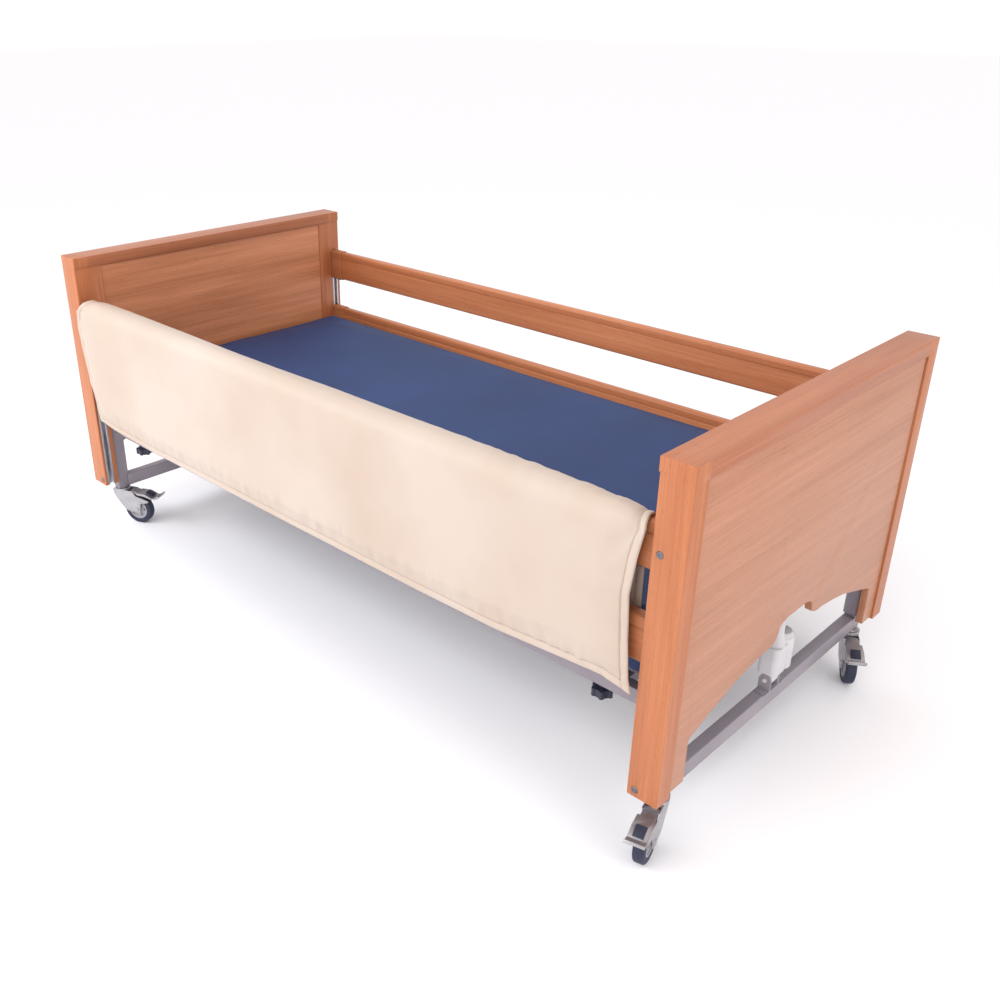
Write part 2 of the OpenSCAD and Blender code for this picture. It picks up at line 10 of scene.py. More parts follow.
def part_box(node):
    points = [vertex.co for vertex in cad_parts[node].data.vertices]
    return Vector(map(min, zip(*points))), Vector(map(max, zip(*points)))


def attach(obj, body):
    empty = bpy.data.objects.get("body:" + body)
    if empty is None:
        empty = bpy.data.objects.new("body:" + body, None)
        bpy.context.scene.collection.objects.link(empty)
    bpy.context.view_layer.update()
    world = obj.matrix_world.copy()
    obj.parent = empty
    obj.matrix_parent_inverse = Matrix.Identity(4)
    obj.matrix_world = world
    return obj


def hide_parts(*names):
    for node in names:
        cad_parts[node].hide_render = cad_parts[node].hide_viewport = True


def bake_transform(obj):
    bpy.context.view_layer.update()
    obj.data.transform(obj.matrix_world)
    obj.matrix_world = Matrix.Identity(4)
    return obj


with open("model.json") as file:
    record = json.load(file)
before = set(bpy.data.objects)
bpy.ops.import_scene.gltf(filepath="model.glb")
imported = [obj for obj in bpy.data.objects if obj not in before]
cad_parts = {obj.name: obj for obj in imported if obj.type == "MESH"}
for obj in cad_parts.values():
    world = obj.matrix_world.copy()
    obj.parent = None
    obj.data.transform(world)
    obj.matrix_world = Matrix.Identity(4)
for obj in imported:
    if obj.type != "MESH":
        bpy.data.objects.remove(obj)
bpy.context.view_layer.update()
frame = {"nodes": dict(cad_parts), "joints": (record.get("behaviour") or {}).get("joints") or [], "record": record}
scene = bpy.context.scene
scene.view_settings.view_transform = "Standard"


# ---------------------------------------------------------------- camera
AZIMUTH, ELEVATION = math.radians(44.79), math.radians(25.94)
level = math.cos(ELEVATION)
back = Vector((math.sin(AZIMUTH) * level, -math.cos(AZIMUTH) * level, math.sin(ELEVATION)))
camera = bpy.data.objects.new("camera", bpy.data.cameras.new("camera"))
scene.collection.objects.link(camera)
camera.location = (1.8906, -1.9413, 1.609)
camera.rotation_mode = "QUATERNION"
camera.rotation_quaternion = (-back).to_track_quat("-Z", "Y")
camera.data.sensor_width = 36
camera.data.lens = 37.583
camera.data.shift_x, camera.data.shift_y = 0.0679, -0.0035
camera.data.clip_end = 60
scene.camera = camera


# ---------------------------------------------------------------- materials
class Shader:
    """A Principled material built up from a few procedural layers in the object's own coordinates."""

    def __init__(self, name, colour, roughness=0.5, metallic=0.0, **sockets):
        self.material = bpy.data.materials.new(name)
        self.material.use_nodes = True
        self.tree = self.material.node_tree
        self.bsdf = self.tree.nodes["Principled BSDF"]
        self.bsdf.inputs["Base Color"].default_value = (*colour, 1)
        self.bsdf.inputs["Roughness"].default_value = roughness
        self.bsdf.inputs["Metallic"].default_value = metallic
        for key, value in sockets.items():
            self.bsdf.inputs[key.replace("_", " ")].default_value = value
        self.place = self.node("ShaderNodeTexCoord").outputs["Object"]

    def node(self, kind, **values):
        made = self.tree.nodes.new(kind)
        for key, value in values.items():
            setattr(made, key, value)
        return made

    def link(self, a, b):
        self.tree.links.new(a, b)

    def noise(self, scale, detail=3.0, rough=0.55, distortion=0.0):
        """Noise with its own scale along each axis."""
        mapping = self.node("ShaderNodeMapping")
        mapping.inputs["Scale"].default_value = scale
        self.link(self.place, mapping.inputs["Vector"])
        made = self.node("ShaderNodeTexNoise")
        made.inputs["Scale"].default_value = 1.0
        made.inputs["Detail"].default_value = detail
        made.inputs["Roughness"].default_value = rough
        made.inputs["Distortion"].default_value = distortion
        self.link(mapping.outputs["Vector"], made.inputs["Vector"])
        return made.outputs["Fac"]

    def ramp(self, factor, stops):
        made = self.node("ShaderNodeValToRGB")
        elements = made.color_ramp.elements
        while len(elements) < len(stops):
            elements.new(0.5)
        for element, (position, colour) in zip(elements, stops):
            element.position = position
            element.color = (*colour, 1) if hasattr(colour, "__len__") else (colour, colour, colour, 1)
        self.link(factor, made.inputs["Fac"])
        return made.outputs["Color"]

    def math(self, operation, a, b):
        made = self.node("ShaderNodeMath", operation=operation)
        for socket, value in zip(made.inputs, (a, b)):
            if hasattr(value, "links"):
                self.link(value, socket)
            else:
                socket.default_value = value
        return made.outputs["Value"]

    def multiply(self, a, b):
        """Colour a multiplied by colour b."""
        made = self.node("ShaderNodeMix", data_type="RGBA", blend_type="MULTIPLY")
        made.inputs["Factor"].default_value = 1.0
        colour_sockets = [socket for socket in made.inputs if socket.type == "RGBA"]
        for socket, value in zip(colour_sockets, (a, b)):
            self.link(value, socket)
        return next(socket for socket in made.outputs if socket.type == "RGBA")

    def colour(self, output):
        self.link(output, self.bsdf.inputs["Base Color"])

    def roughness(self, factor, low, high):
        made = self.node("ShaderNodeMapRange")
        made.inputs["To Min"].default_value = low
        made.inputs["To Max"].default_value = high
        self.link(factor, made.inputs["Value"])
        self.link(made.outputs["Result"], self.bsdf.inputs["Roughness"])

    def bump(self, height, strength, distance):
        made = self.node("ShaderNodeBump")
        made.inputs["Strength"].default_value = strength
        made.inputs["Distance"].default_value = distance
        self.link(height, made.inputs["Height"])
        previous = self.bsdf.inputs["Normal"].links
        if previous:
            self.link(previous[0].from_socket, made.inputs["Normal"])
        self.link(made.outputs["Normal"], self.bsdf.inputs["Normal"])


def along(axis, across, run):
    """Noise scales: run along the axis, across in the other two directions."""
    scale = [across, across, across]
    scale["XYZ".index(axis)] = run
    return scale


def wood(name, dark, light, axis, streak=0.5, roughness=(0.34, 0.5)):
    """Lacquered beech: long tone bands, fine grain lines and short dark flecks along the axis."""
    s = Shader(name, light, Specular_IOR_Level=0.35, Coat_Weight=0.08, Coat_Roughness=0.25)
    bands = s.noise(along(axis, 26, 1.1), 2, 0.5, 0.6)
    lines = s.noise(along(axis, 190, 3.5), 4, 0.6, 0.2)
    flecks = s.noise(along(axis, 620, 55), 2)
    tone = s.math("ADD", s.math("MULTIPLY", bands, 1 - streak), s.math("MULTIPLY", lines, streak))
    mid = [0.5 * (a + b) for a, b in zip(dark, light)]
    base = s.ramp(tone, [(0.33, dark), (0.5, mid), (0.66, light)])
    fleck = s.ramp(flecks, [(0.60, 1.0), (0.70, 0.80)])
    s.colour(s.multiply(base, fleck))
    s.roughness(lines, *roughness)
    s.bump(lines, 0.05, 0.0004)
    s.bump(flecks, 0.05, 0.0002)
    return s.material


def painted(name, colour, roughness=0.45, metallic=0.0, peel=0.12):
    """Powder-coated or moulded surface: fine orange peel, faint dust and handling marks."""
    s = Shader(name, colour, roughness, metallic)
    peel_noise = s.noise((900, 900, 900), 2)
    marks = s.noise((9, 9, 9), 4, 0.6)
    dull = [c * 0.88 for c in colour]
    bright = [min(1, c * 1.06) for c in colour]
    shade = s.ramp(marks, [(0.3, dull), (0.62, colour), (0.8, bright)])
    s.colour(shade)
    s.roughness(marks, roughness - 0.07, roughness + 0.1)
    s.bump(peel_noise, peel, 0.0003)
    return s.material


def metal(name, colour, roughness=0.32, brush=(30, 30, 500)):
    """Bare or plated metal with fine brushing."""
    s = Shader(name, colour, roughness, 1.0)
    brushed = s.noise(brush, 3, 0.6)
    worn = s.noise((25, 25, 25), 3)
    s.colour(s.ramp(worn, [(0.3, [c * 0.82 for c in colour]), (0.6, colour)]))
    s.roughness(brushed, roughness - 0.1, roughness + 0.15)
    s.bump(brushed, 0.05, 0.0002)
    return s.material


WAVE_BAND = 0.314  # width in metres of one band of Blender's wave texture at scale 1


def woven(name, colour, other, pitch, roughness, sheen, bump=0.25):
    """Coated woven cloth: fine plain weave, cloudy tone and soft sheen."""
    s = Shader(name, colour, roughness, Specular_IOR_Level=0.3, Sheen_Weight=sheen, Sheen_Roughness=0.4)
    waves = []
    for direction in ("X", "Y", "Z"):
        wave = s.node("ShaderNodeTexWave", wave_type="BANDS", bands_direction=direction)
        wave.inputs["Scale"].default_value = WAVE_BAND / pitch
        wave.inputs["Distortion"].default_value = 0.6
        wave.inputs["Detail"].default_value = 1.0
        s.link(s.place, wave.inputs["Vector"])
        waves.append(wave.outputs["Fac"])
    weave = s.math("ADD", s.math("ADD", waves[0], waves[1]), waves[2])
    cloud = s.noise((3.2, 3.2, 3.2), 3, 0.5)
    s.colour(s.ramp(cloud, [(0.3, other), (0.65, colour)]))
    s.roughness(cloud, roughness - 0.06, roughness + 0.06)
    s.bump(weave, bump, 0.0002)
    return s.material


beech_up = wood("beech_upright", (0.37, 0.112, 0.040), (0.53, 0.190, 0.078), "Z")
beech_across = wood("beech_across", (0.35, 0.107, 0.042), (0.48, 0.175, 0.080), "Y")
beech_long = wood("beech_lengthways", (0.42, 0.135, 0.052), (0.60, 0.225, 0.098), "X")
panel_face = wood("panel_veneer", (0.38, 0.155, 0.077), (0.51, 0.230, 0.132), "Y", 0.55, (0.3, 0.42))
# the inner veneer is lighter than the outer one: painted light, standing in for the light the boards and mattress
# keep off its face
panel_inside_lit = wood("inner_veneer_painted_light", (0.42, 0.150, 0.064), (0.66, 0.265, 0.130), "Y", 0.3, (0.36, 0.5))
cap_wood = wood("cap_wood_finish", (0.36, 0.115, 0.042), (0.48, 0.175, 0.075), "X", 0.4, (0.4, 0.55))
steel = painted("grey_powder_coat", (0.30, 0.265, 0.30), 0.42)
zinc = metal("zinc_plate", (0.50, 0.49, 0.51), 0.46, (200, 200, 200))
bolt_steel = metal("bolt_steel", (0.20, 0.19, 0.21), 0.4, (400, 400, 400))
aluminium = metal("anodised_aluminium", (0.66, 0.66, 0.70), 0.3, (30, 300, 3))
turned = metal("turned_steel", (0.70, 0.69, 0.70), 0.2, (400, 400, 400))
hub_grey = painted("hub_plastic", (0.38, 0.36, 0.39), 0.5)
motor_grey = painted("motor_housing", (0.60, 0.585, 0.60), 0.42)
dark_plastic = painted("dark_plastic", (0.018, 0.022, 0.045), 0.45)
rubber = painted("tyre_rubber", (0.018, 0.023, 0.052), 0.6, peel=0.25)
blue_cloth = woven("mattress_cloth", (0.026, 0.057, 0.170), (0.018, 0.042, 0.130), 0.0011, 0.62, 0.02, 0.2)
cream_cloth = woven("cover_leathercloth", (0.555, 0.462, 0.395), (0.505, 0.395, 0.318), 0.0014, 0.5, 0.08,
                    0.12)
# the cover's cloth made darker for the seam grooves: painted shade in the groove
seam_shade_cloth = woven("cover_seam_painted_shade", (0.45, 0.36, 0.29), (0.40, 0.31, 0.24), 0.0014, 0.6, 0.05, 0.2)
thread = painted("cream_thread", (0.62, 0.50, 0.40), 0.7)


# ---------------------------------------------------------------- mesh helpers
body_of = {node: body for body, nodes in frame["record"]["behaviour"]["bodies"].items() for node in nodes}


def new_object(name, mesh, material):
    made = bpy.data.objects.new(name, mesh)
    scene.collection.objects.link(made)
    mesh.materials.clear()
    mesh.materials.append(material)
    return made


def placed(mesh):
    """All points of a mesh, as an array."""
    flat = np.empty(len(mesh.vertices) * 3)
    mesh.vertices.foreach_get("co", flat)
    return flat.reshape(-1, 3)


def facing(mesh):
    """The smooth normals at all points of a mesh, as an array."""
    flat = np.empty(len(mesh.vertices) * 3, np.float32)
    mesh.vertex_normals.foreach_get("vector", flat)
    return flat.reshape(-1, 3)


def split_faces(obj, material, test):
    """Gives the faces that pass test(centre, normal) a second material."""
    obj.data.materials.append(material)
    for face in obj.data.polygons:
        if test(face.center, face.normal):
            face.material_index = len(obj.data.materials) - 1


def smooth(obj, angle=35):
    """Smooth shading, with sharp edges where faces meet at more than angle degrees."""
    obj.data.polygons.foreach_set("use_smooth", [True] * len(obj.data.polygons))
    bm = bmesh.new()
    bm.from_mesh(obj.data)
    for edge in bm.edges:
        if len(edge.link_faces) == 2 and edge.calc_face_angle(0) > math.radians(angle):
            edge.smooth = False
    bm.to_mesh(obj.data)
    bm.free()


def paint(names, material):
    """Gives CAD nodes that stay as they are their material."""
    for name in names:
        node = frame["nodes"][name]
        if not node.material_slots:
            node.data.materials.append(material)
        for slot in node.material_slots:
            slot.material = material


def soften(name, material, radius, segments, cuts=()):
    """A finished copy of a CAD node: its faces joined up and its sharp edges rounded over.
    cuts, pairs of a point and a direction, are planes that also cut the faces."""
    body = body_of[name]
    bm = bmesh.new()
    bm.from_mesh(frame["nodes"][name].data)
    bmesh.ops.remove_doubles(bm, verts=bm.verts, dist=2e-5)
    bmesh.ops.dissolve_limit(bm, angle_limit=math.radians(1.0), verts=bm.verts, edges=bm.edges)
    for place, direction in cuts:
        geometry = bm.verts[:] + bm.edges[:] + bm.faces[:]
        bmesh.ops.bisect_plane(bm, geom=geometry, plane_co=place, plane_no=direction)
    for face in bm.faces:
        face.smooth = True
    mesh = bpy.data.meshes.new(name + "_finish")
    bm.to_mesh(mesh)
    bm.free()
    made = new_object(name + "_finish", mesh, material)
    bevel = made.modifiers.new("round", "BEVEL")
    bevel.width = radius
    bevel.segments = segments
    bevel.limit_method = "ANGLE"
    bevel.angle_limit = math.radians(32)
    bevel.use_clamp_overlap = True
    bevel.harden_normals = True
    bevel.miter_outer = "MITER_ARC"
    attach(made, body)
    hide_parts(name)
    return made


def soften_all(names, material, radius, segments):
    for name in names:
        soften(name, material, radius, segments)


# ---------------------------------------------------------------- wooden parts
POST_Y, RAIL_Z = 0.4645, 0.8585  # where a board's posts meet its top rail, and the grain changes direction
grain_cuts = [((0, POST_Y, 0), (0, 1, 0)), ((0, -POST_Y, 0), (0, 1, 0)), ((0, 0, RAIL_Z), (0, 0, 1))]
for end in ("foot", "head"):
    board = soften(f"{end}_board_frame", beech_up, 0.0022, 3, grain_cuts)
    split_faces(board, beech_across, lambda c, n: c.z > RAIL_Z and abs(c.y) < POST_Y or n.z > 0.9)
    soften(f"{end}_outer_panel", panel_face, 0.0015, 3)
    soften(f"{end}_inner_panel", panel_inside_lit, 0.0008, 2)
for side in ("near", "far"):
    soften_all([f"{side}_upper_rail", f"{side}_lower_rail"], beech_long, 0.0012, 2)
    soften_all([f"{side}_rail_caps"], cap_wood, 0.0015, 3)


# ---------------------------------------------------------------- steel, castors and drives
CASTORS = ("foot_near", "foot_far", "head_near", "head_far")
end_frames = ["foot_base_frame", "head_base_frame", "foot_lift_frame", "head_lift_frame"]
decks = ["seat_deck", "back_deck", "thigh_deck", "calf_deck"]
motors = ["foot_lift_motor", "head_lift_motor", "back_motor", "knee_motor"]
catches = [f"{side}_{end}_catch" for side in ("near", "far") for end in ("head", "foot")]

soften_all(end_frames, steel, 0.0015, 2)
soften_all(["chassis"] + decks, steel, 0.0012, 2)
soften_all(motors, motor_grey, 0.0025, 3)
soften_all(["hand_knobs", "control_box"], dark_plastic, 0.002, 3)
soften_all(catches, dark_plastic, 0.0012, 2)
soften_all(["rail_channels"], aluminium, 0.0004, 1)
soften_all(["channel_bolts"], bolt_steel, 0.0005, 2)
paint(["lift_rods", "hinge_pins", "knee_pins", "back_rod", "knee_rod"], turned)
for castor in CASTORS:
    soften(f"{castor}_fork", zinc, 0.0010, 2)
    soften(f"{castor}_pedal", zinc, 0.0010, 2)
    soften(f"{castor}_hub", hub_grey, 0.0008, 2)
    soften(f"{castor}_tyre", rubber, 0.0008, 2)


TAB_REACH, TAB_Z, TAB_TILT = 0.108, 0.1118, math.radians(24)  # from the stem, above the floor, nose down
TAB_PLATE = (0.027, 0.0235, 0.0050)
TAB_BUTTON, BUTTON_AHEAD = (0.015, 0.0150, 0.0075), 0.003
joints = {j["name"]: j for j in frame["joints"]}


def release_tab(castor):
    """The dark tab let into the top of a castor's pedal, with its grey button."""
    stem = Vector(joints[f"{castor}_swivel"]["pos_m"])
    axle = Vector(joints[f"{castor}_roll"]["pos_m"])
    turn = Matrix.Rotation(math.atan2(axle.y - stem.y, axle.x - stem.x), 4, "Z")
    bm = bmesh.new()
    for slot, (size, ahead) in enumerate([(TAB_PLATE, 0), (TAB_BUTTON, BUTTON_AHEAD)]):
        corners = bmesh.ops.create_cube(bm, size=1)["verts"]
        bmesh.ops.scale(bm, vec=size, verts=corners)
        bmesh.ops.translate(bm, vec=(ahead, 0, 0), verts=corners)
        for face in {f for corner in corners for f in corner.link_faces}:
            face.material_index = slot
    bmesh.ops.bevel(bm, geom=bm.edges[:], offset=0.0006, segments=2, affect="EDGES", profile=0.6)
    bmesh.ops.rotate(bm, matrix=Matrix.Rotation(TAB_TILT, 3, "Y"), verts=bm.verts)
    bmesh.ops.translate(bm, vec=(TAB_REACH, 0, TAB_Z), verts=bm.verts)
    bm.transform(Matrix.Translation((stem.x, stem.y, 0)) @ turn)
    mesh = bpy.data.meshes.new(f"{castor}_release_tab")
    bm.to_mesh(mesh)
    bm.free()
    made = new_object(f"{castor}_release_tab", mesh, dark_plastic)
    mesh.materials.append(zinc)
    smooth(made)
    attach(made, f"{castor}_brake")


for castor in CASTORS:
    release_tab(castor)


# ---------------------------------------------------------------- cloth
def inflate(obj, pinned, pressure, frames, cap):
    """Blows the skin out a little as cloth round its pinned points; no point moves further than cap."""
    rest = np.array([v.co for v in obj.data.vertices])
    group = obj.vertex_groups.new(name="pin")
    for index, weight in pinned.items():
        group.add([index], weight, "REPLACE")
    cloth = obj.modifiers.new("cloth", "CLOTH")
    cloth.settings.quality = 4
    cloth.settings.mass = 0.4
    cloth.settings.tension_stiffness = cloth.settings.compression_stiffness = 12
    cloth.settings.bending_stiffness = 0.6
    cloth.settings.vertex_group_mass = "pin"
    cloth.settings.use_pressure = True
    cloth.settings.uniform_pressure_force = pressure
    cloth.settings.effector_weights.gravity = 0
    cloth.point_cache.frame_start, cloth.point_cache.frame_end = 1, frames
    for step in range(1, frames + 1):
        scene.frame_set(step)
    evaluated = obj.evaluated_get(bpy.context.evaluated_depsgraph_get())
    moved = np.array([v.co for v in evaluated.data.vertices])
    obj.modifiers.remove(cloth)
    obj.vertex_groups.clear()
    scene.frame_set(1)
    shift = moved - rest
    length = np.linalg.norm(shift, axis=1, keepdims=True)
    shift *= np.minimum(1, cap / np.maximum(length, 1e-9))
    obj.data.vertices.foreach_set("co", (rest + shift).ravel())
    obj.data.update()


def grid_mesh(name, rings, material):
    """A closed skin over rings of points, with a cap over the first ring and one over the last."""
    around, last = len(rings[0]), (len(rings) - 1) * len(rings[0])
    verts = [tuple(p) for ring in rings for p in ring]
    faces = []
    for start in range(0, last, around):
        for j in range(around):
            k = (j + 1) % around
            faces.append((start + j, start + around + j, start + around + k, start + k))
    faces.append(tuple(range(around)))
    faces.append(tuple(range(last, last + around))[::-1])
    mesh = bpy.data.meshes.new(name)
    mesh.from_pydata(verts, [], faces)
    mesh.update()
    bm = bmesh.new()
    bm.from_mesh(mesh)
    bmesh.ops.recalc_face_normals(bm, faces=bm.faces)
    bm.to_mesh(mesh)
    bm.free()
    mesh.polygons.foreach_set("use_smooth", [True] * len(mesh.polygons))
    return new_object(name, mesh, material)


def ease(t):
    """0 up to t = 0 and 1 from t = 1, with a smooth step between them."""
    t = min(1.0, max(0.0, t))
    return t * t * (3 - 2 * t)


# ---------------------------------------------------------------- mattress
m_low, m_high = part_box("mattress_back")[0].copy(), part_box("mattress_calf")[1].copy()
MX0, MX1 = m_low.x, m_high.x
MY = m_high.y
MZ0, MZ1 = m_low.z, m_high.z
CROWN = 0.005  # how far the cover stands above the foam blocks
FAR_SIDE = 0.012  # how far it stands past them on the far side
TOP_ROUND, LOW_ROUND = 0.026, 0.012
END_ROUND, END_INSET = 0.030, 0.022
SEAM_Z = MZ0 + 0.088
BACK_JOINT, THIGH_JOINT = -0.005, 0.19  # x of the cuts between the three pieces


def arc(centre_y, centre_z, radius, start, steps):
    """Points over a quarter turn from the angle start, as (y, z)."""
    turns = [start + math.pi / 2 * i / steps for i in range(steps + 1)]
    return [(centre_y + radius * math.cos(a), centre_z + radius * math.sin(a)) for a in turns]


def mattress_ring(x):
    """Section of the mattress across the bed at x, from the underside's middle round and back."""
    end = min(x - MX0, MX1 - x)
    inset = END_INSET * (1 - ease(end / END_ROUND) ** 0.5) if end < END_ROUND else 0.0
    half, top, bottom = MY - inset, MZ1 + CROWN - inset * 0.7, MZ0 + inset * 0.3
    side_low, side_high = bottom + LOW_ROUND, top - TOP_ROUND
    side = [(half * i / 15, bottom) for i in range(15)]
    side += arc(half - LOW_ROUND, side_low, LOW_ROUND, -math.pi / 2, 6)
    side += [(half, side_low + (side_high - side_low) * i / 12) for i in range(1, 12)]
    side += arc(half - TOP_ROUND, side_high, TOP_ROUND, 0, 8)
    side += [((half - TOP_ROUND) * (1 - i / 31), top) for i in range(1, 31)]
    mirrored = [(-y, z) for y, z in side[1:]][::-1]
    widen = 1 + FAR_SIDE / MY
    return [Vector((x, y * widen if y > 0 else y, z)) for y, z in side + [(0.0, top)] + mirrored]


def mattress_wrinkle(p):
    """Folds of the mattress cover: short slanting creases by the long edges, more towards the foot."""
    foot = 0.2 + 0.8 * ease((p.x - 0.05) / 0.6)
    edge = ease((abs(p.y) - 0.25) / 0.10) * (1 - 0.85 * ease((abs(p.y) - 0.425) / 0.02))
    bend = noise.noise(Vector((p.x * 4, p.y * 4, 3.1)))
    line = 1 - 1.6 * abs(math.sin((p.x + 1.3 * abs(p.y)) * 64 + 3 * bend))
    patch = min(1, max(0, 0.35 + 1.6 * noise.noise(Vector((p.x * 8, p.y * 3, 8.0)))))
    calm = noise.fractal(Vector((p.x * 2.3, p.y * 3.1, 7.7)), 1.0, 2.0, 2)
    return -0.0060 * foot * edge * patch * max(0, line) + 0.0016 * calm - 0.0012


end_steps = (0.0, 0.001, 0.003, 0.006, 0.010, 0.015, 0.022, 0.030)
stations = [MX0 + step for step in end_steps] + [MX1 - step for step in end_steps]
stations += list(np.linspace(MX0 + 0.038, MX1 - 0.038, 211))
xs = sorted({round(float(x), 4) for x in stations} | {BACK_JOINT, THIGH_JOINT})
rings = [mattress_ring(x) for x in xs]
whole = grid_mesh("mattress_whole", rings, blue_cloth)
pins = {}
for vertex in whole.data.vertices:
    p = vertex.co
    if p.z < MZ1 - 0.03:
        pins[vertex.index] = 1.0
    elif abs(p.y) > MY - 0.02 or min(p.x - MX0, MX1 - p.x) < 0.02:
        pins[vertex.index] = 0.9  # the rim of the top gives a little
inflate(whole, pins, 1.2, 12, 0.005)
for vertex in whole.data.vertices:
    p = vertex.co
    if p.z > MZ1 - 0.03:
        vertex.co.z += mattress_wrinkle(p)
    elif abs(p.y) > MY - 0.002 and p.z > MZ0 + 0.02:
        bow = noise.fractal(Vector((p.x * 6, p.z * 18, 1.7)), 1.0, 2.0, 3)
        vertex.co.y -= math.copysign(0.0012 + 0.0015 * bow, p.y)
    if abs(p.y) > MY - 0.006 and abs(p.z - SEAM_Z) < 0.004:
        vertex.co.y += math.copysign(0.0015, p.y)
whole.data.update()

around = len(rings[0])
whole_points, whole_normals = placed(whole.data), facing(whole.data)


def mattress_piece(name, x_from, x_to, nodes):
    """The skin between two stations, with the whole skin's normals, so that no seam shows at a joint."""
    use = [i for i, x in enumerate(xs) if x_from - 1e-6 <= x <= x_to + 1e-6]
    made = grid_mesh(name, [whole_points[i * around:(i + 1) * around] for i in use], blue_cloth)
    kept = np.concatenate([whole_normals[i * around:(i + 1) * around] for i in use])
    loops = []
    for polygon in made.data.polygons:
        is_cap = len(polygon.vertices) > 4
        for vertex in polygon.vertices:
            loops.append(tuple(polygon.normal) if is_cap else tuple(kept[vertex]))
    made.data.normals_split_custom_set(loops)
    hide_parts(*nodes)
    return made


part = mattress_piece("mattress_head_part", MX0, BACK_JOINT, ["mattress_back", "mattress_folds"])
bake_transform(part)
part = mattress_piece("mattress_middle_part", BACK_JOINT, THIGH_JOINT, ["mattress_seat"])
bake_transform(part)
part = mattress_piece("mattress_foot_part", THIGH_JOINT, MX1, ["mattress_thigh", "mattress_calf"])
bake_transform(part)
bpy.data.objects.remove(whole)


# ---------------------------------------------------------------- padded cover
# the outline of the pad's outer face: x of its two end edges by height, and the hem's height by x
HEAD_EDGE = [(0.388, -0.930), (0.408, -0.962), (0.452, -0.976), (0.521, -0.993), (0.620, -1.013),
             (0.700, -1.018), (0.742, -1.012), (0.770, -1.000), (0.790, -0.985)]
FOOT_EDGE = [(0.388, 1.018), (0.397, 1.016), (0.430, 1.007), (0.510, 0.999), (0.610, 0.992),
             (0.690, 1.001), (0.742, 1.011), (0.762, 1.014), (0.790, 1.010)]
HEM = [(-1.02, 0.402), (-0.97, 0.402), (-0.925, 0.394), (-0.70, 0.388), (0.40, 0.386),
       (0.64, 0.390), (0.80, 0.402), (0.935, 0.412), (0.985, 0.403), (1.02, 0.394)]
OUT_Y, IN_Y, ROLL_Z, ROLL_R = -0.5245, -0.4645, 0.7420, 0.030  # middle of the pad, the flap and the roll
FLAP_Z, FLAP_SHARE = 0.550, 0.972  # lower edge of the inner flap, and its length as a share of the roll's
OUT_HALF, IN_HALF = 0.0132, 0.0075  # half thickness of the filling outside and inside the rails
HEM_W, HEM_HALF, SEAM_HALF, SWELL = 0.017, 0.0036, 0.0014, 0.050  # SWELL: from the seam to full thickness
N_OUT, N_ROLL, N_FLAP = 52, 12, 20  # points up the pad, over the roll and down the flap


def lookup(table, value):
    keys, values = zip(*table)
    return float(np.interp(value, keys, values))


def across(u, z):
    """The x of the pad at u between its two end edges, at height z."""
    return lookup(HEAD_EDGE, z) * (1 - u) + lookup(FOOT_EDGE, z) * u


def cover_path(u):
    """Middle line of the pad at u (0 head end, 1 foot end), from its hem over the roll to the flap's edge:
    a list of (x, y, z, outward y, outward z, distance)."""
    hem_z = lookup(HEM, across(u, 0.5))
    path = []
    for i in range(N_OUT + 1):
        t = i / N_OUT
        t = t * (0.3 + 0.7 * t)
        z = hem_z + (ROLL_Z - hem_z) * t
        path.append((across(u, z), OUT_Y, z, -1.0, 0.0))
    for i in range(1, N_ROLL):
        a = math.pi * (1 - i / N_ROLL)
        z = ROLL_Z + ROLL_R * math.sin(a)
        y = (OUT_Y + IN_Y) / 2 + ROLL_R * math.cos(a)
        narrow = 1 - 0.012 * i / N_ROLL
        path.append((across(u, z + 0.012) * narrow, y, z, math.cos(a), math.sin(a)))
    for i in range(N_FLAP + 1):
        z = ROLL_Z + (FLAP_Z - ROLL_Z) * i / N_FLAP
        path.append((across(u, ROLL_Z) * FLAP_SHARE, IN_Y, z, 1.0, 0.0))
    run, measured = 0.0, []
    for i, p in enumerate(path):
        if i:
            run += math.hypot(p[1] - path[i - 1][1], p[2] - path[i - 1][2])
        measured.append((*p, run))
    return measured


def welt(distance, full):
    """Half thickness near an edge: a rolled hem, the groove of its seam, then the filling swelling out."""
    if distance < HEM_W:
        return 0.0012 + HEM_HALF * math.sqrt(max(0.0, 1 - (2 * distance / HEM_W - 1) ** 2))
    rise = math.sin(math.pi / 2 * min(1.0, (distance - HEM_W) / SWELL)) ** 0.62
    return SEAM_HALF + (full - SEAM_HALF) * rise


def cover_half(u, s, total, y_out):
    """Half of the pad's thickness at u and at distance s from the hem."""
    edge = min(u, 1 - u) * 2.0
    full = OUT_HALF if y_out < 0 else IN_HALF
    return min(welt(s, full), welt(edge, full), welt(total - s, full))


rim = [0.0, 0.0006, 0.0016, 0.0028, 0.0042, 0.0056, 0.0068, 0.0078, 0.0084, 0.0089, 0.0096, 0.0106, 0.0122,
       0.0145, 0.0175]
us = rim + list(np.linspace(0.0215, 0.9785, 250)) + [1 - u for u in reversed(rim)]
cover_rings = []
for u in us:
    path = cover_path(u)
    total = path[-1][5]
    outer, inner = [], []
    for x, y, z, ny, nz, s in path:
        half = cover_half(u, s, total, ny)
        back_half = min(half, 0.0125)  # the back stays clear of the rails
        outer.append(Vector((x, y + ny * half, z + nz * half)))
        inner.append(Vector((x, y - ny * back_half, z - nz * back_half)))
    cover_rings.append(outer + inner[::-1])
cover = grid_mesh("padded_cover_skin", cover_rings, cream_cloth)
ring_size = len(cover_rings[0])
outer_count = ring_size // 2


def on_seam(distance):
    return HEM_W - 0.0012 <= distance < HEM_W + 0.0022


# faces in the seam's groove along the hem and the ends take the darker seam cloth: painted shade
cover.data.materials.append(seam_shade_cloth)
runs = [p[5] for p in cover_path(0.5)]
for i, u in enumerate(us[:-1]):
    edge = min(u, 1 - u) * 2.0
    for j in range(outer_count - 1):
        if on_seam(runs[j]) and edge > HEM_W or on_seam(edge) and runs[j] > HEM_W:
            cover.data.polygons[i * ring_size + j].material_index = 1

